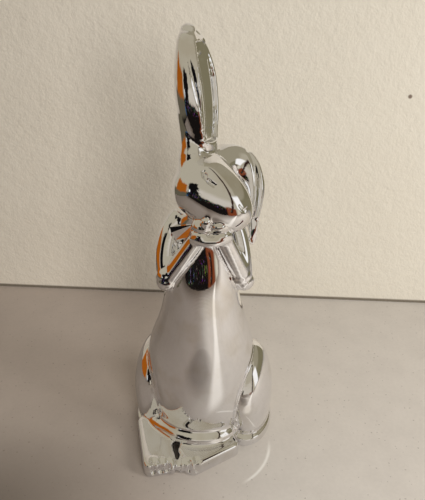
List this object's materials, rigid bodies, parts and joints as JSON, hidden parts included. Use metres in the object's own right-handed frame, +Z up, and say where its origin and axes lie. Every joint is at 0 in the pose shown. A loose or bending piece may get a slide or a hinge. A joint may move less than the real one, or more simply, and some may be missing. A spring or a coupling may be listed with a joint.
{
  "type": "rabbit figurine",
  "caption": "Silver-plated ceramic ornament of a seated rabbit, paws together under its chin, one ear raised and the other hanging beside its bowed head, resting on a flat base",
  "frame": {"origin": "on the surface that the figure stands on, at the middle of the torso's flat base", "axes": "+Z up, -Y towards the side that the picture shows, +X to that side's right as seen from in front"},
  "size_m": [0.1089, 0.1155, 0.2986],
  "materials": {
    "silver_plating": "mirror-bright silver plating over glazed ceramic"
  },
  "bodies": {
    "root": {"body_shell": "silver_plating", "head_shell": "silver_plating", "raised_ear": "silver_plating", "lop_ear": "silver_plating", "right_arm": "silver_plating", "left_arm": "silver_plating", "right_haunch": "silver_plating", "left_haunch": "silver_plating", "right_foot": "silver_plating", "left_foot": "silver_plating", "tail": "silver_plating"}
  },
  "joints": []
}
